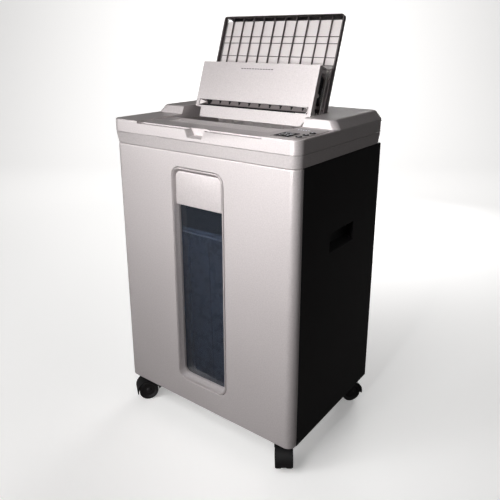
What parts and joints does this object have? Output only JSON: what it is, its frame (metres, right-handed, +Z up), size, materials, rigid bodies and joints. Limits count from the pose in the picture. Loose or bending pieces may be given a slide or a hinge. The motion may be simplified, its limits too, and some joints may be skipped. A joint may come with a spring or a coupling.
{
  "type": "paper shredder",
  "caption": "Auto-feed paper shredder on castors: drawer front with window and bin, deck with recessed tray, hinged lid with a sprung pressure plate.",
  "frame": {"origin": "on the floor, under the centre of the cabinet", "axes": "+Z up, front of the cabinet faces -Y, +X to the right of someone facing +Y"},
  "size_m": [0.405, 0.3088, 0.7785],
  "materials": {
    "silver_paint": "satin metallic lacquer",
    "pale_plastic": "fine moulded texture",
    "black_laminate": "satin black",
    "black_plastic": "fine moulded texture",
    "grey_plastic": "satin",
    "smoked_acrylic": "smoked, polished",
    "cut_steel": "ground",
    "zinc_steel": "zinc plated",
    "circuit_board": "solder mask",
    "rubber": "moulded"
  },
  "bodies": {
    "cabinet": {"base_plate": "black_plastic", "side_panel_left": "black_laminate", "side_panel_right": "black_laminate", "back_panel": "black_laminate", "drawer_rail_left": "zinc_steel", "drawer_rail_right": "zinc_steel", "power_inlet": "black_plastic", "head_floor": "zinc_steel", "cutter_plate_left": "zinc_steel", "cutter_plate_right": "zinc_steel", "tie_bar_front": "zinc_steel", "tie_bar_back": "zinc_steel", "throat_guide": "black_plastic", "drive_motor": "zinc_steel", "gearbox": "grey_plastic", "control_board": "circuit_board", "deck_collar": "silver_paint", "deck_cover": "silver_paint", "feed_well": "grey_plastic", "tray_panel": "pale_plastic", "control_panel": "grey_plastic", "display": "smoked_acrylic", "hinge_pin_left": "zinc_steel", "hinge_pin_right": "zinc_steel", "castor_plate_front_left": "zinc_steel", "castor_plate_front_right": "zinc_steel", "castor_plate_back_left": "zinc_steel", "castor_plate_back_right": "zinc_steel"},
    "drawer": {"front_panel": "silver_paint", "window_bezel": "silver_paint", "window_filler": "silver_paint", "window_pane": "smoked_acrylic", "bin_carrier": "black_plastic", "waste_bin": "black_plastic"},
    "lid": {"lid_cover": "silver_paint", "lid_frame": "black_plastic", "lid_panel": "pale_plastic", "rib_grid": "black_plastic", "pressure_housing": "pale_plastic", "plate_lever": "black_plastic"},
    "plate": {"pressure_plate": "silver_paint", "comb_bar": "grey_plastic"},
    "power_button": {"button_power": "black_plastic"},
    "reverse_button": {"button_reverse": "black_plastic"},
    "forward_button": {"button_forward": "black_plastic"},
    "rocker": {"power_switch": "black_plastic"},
    "front_cutter": {"cutter_shaft_front": "cut_steel"},
    "back_cutter": {"cutter_shaft_back": "cut_steel"},
    "feeder": {"feed_roller": "rubber"},
    "castor_front_left": {"castor_hood_front_left": "black_plastic"},
    "wheel_front_left": {"castor_wheel_front_left": "rubber"},
    "castor_front_right": {"castor_hood_front_right": "black_plastic"},
    "wheel_front_right": {"castor_wheel_front_right": "rubber"},
    "castor_back_left": {"castor_hood_back_left": "black_plastic"},
    "wheel_back_left": {"castor_wheel_back_left": "rubber"},
    "castor_back_right": {"castor_hood_back_right": "black_plastic"},
    "wheel_back_right": {"castor_wheel_back_right": "rubber"}
  },
  "joints": [
    {"name": "drawer_slide", "type": "slide", "parent": "cabinet", "child": "drawer", "axis": [0, -1, 0], "range_m": [0, 0.24]},
    {"name": "lid_hinge", "type": "hinge", "parent": "cabinet", "child": "lid", "pos_m": [0, 0.046, 0.6], "axis": [1, 0, 0], "range_deg": [0, 109]},
    {"name": "plate_slide", "type": "slide", "parent": "lid", "child": "plate", "axis": [0, 0.9455, -0.3256], "range_m": [0, 0.01], "stiffness_N_per_m": 400, "springref_m": -0.02},
    {"name": "power_press", "type": "slide", "parent": "cabinet", "child": "power_button", "axis": [0, 0, -1], "range_m": [0, 0.001], "stiffness_N_per_m": 500, "springref_m": -0.0012},
    {"name": "reverse_press", "type": "slide", "parent": "cabinet", "child": "reverse_button", "axis": [0, 0, -1], "range_m": [0, 0.001], "stiffness_N_per_m": 500, "springref_m": -0.0012},
    {"name": "forward_press", "type": "slide", "parent": "cabinet", "child": "forward_button", "axis": [0, 0, -1], "range_m": [0, 0.001], "stiffness_N_per_m": 500, "springref_m": -0.0012},
    {"name": "switch_rock", "type": "hinge", "parent": "cabinet", "child": "rocker", "pos_m": [0.082, 0.14, 0.5], "axis": [1, 0, 0], "range_deg": [-7, 7]},
    {"name": "front_cutter_spin", "type": "hinge", "parent": "cabinet", "child": "front_cutter", "pos_m": [0, 0.011, 0.5], "axis": [1, 0, 0], "continuous": true},
    {"name": "back_cutter_spin", "type": "hinge", "parent": "cabinet", "child": "back_cutter", "pos_m": [0, 0.049, 0.5], "axis": [1, 0, 0], "continuous": true},
    {"name": "feed_roller_spin", "type": "hinge", "parent": "cabinet", "child": "feeder", "pos_m": [0, -0.008, 0.534], "axis": [1, 0, 0], "continuous": true},
    {"name": "front_left_swivel", "type": "hinge", "parent": "cabinet", "child": "castor_front_left", "pos_m": [-0.159, -0.106, 0.04], "axis": [0, 0, 1], "continuous": true},
    {"name": "front_left_roll", "type": "hinge", "parent": "castor_front_left", "child": "wheel_front_left", "pos_m": [-0.17311, -0.12542, 0.02], "axis": [0.809, -0.5878, 0], "continuous": true},
    {"name": "front_right_swivel", "type": "hinge", "parent": "cabinet", "child": "castor_front_right", "pos_m": [0.159, -0.106, 0.04], "axis": [0, 0, 1], "continuous": true},
    {"name": "front_right_roll", "type": "hinge", "parent": "castor_front_right", "child": "wheel_front_right", "pos_m": [0.17311, -0.12542, 0.02], "axis": [0.809, 0.5878, 0], "continuous": true},
    {"name": "back_left_swivel", "type": "hinge", "parent": "cabinet", "child": "castor_back_left", "pos_m": [-0.159, 0.106, 0.04], "axis": [0, 0, 1], "continuous": true},
    {"name": "back_left_roll", "type": "hinge", "parent": "castor_back_left", "child": "wheel_back_left", "pos_m": [-0.17311, 0.12542, 0.02], "axis": [-0.809, -0.5878, 0], "continuous": true},
    {"name": "back_right_swivel", "type": "hinge", "parent": "cabinet", "child": "castor_back_right", "pos_m": [0.159, 0.106, 0.04], "axis": [0, 0, 1], "continuous": true},
    {"name": "back_right_roll", "type": "hinge", "parent": "castor_back_right", "child": "wheel_back_right", "pos_m": [0.17311, 0.12542, 0.02], "axis": [-0.809, 0.5878, 0], "continuous": true}
  ],
  "couplings": [
    {"joint": "back_cutter_spin", "follows": "front_cutter_spin", "ratio": -1},
    {"joint": "feed_roller_spin", "follows": "front_cutter_spin", "ratio": 0.5}
  ]
}
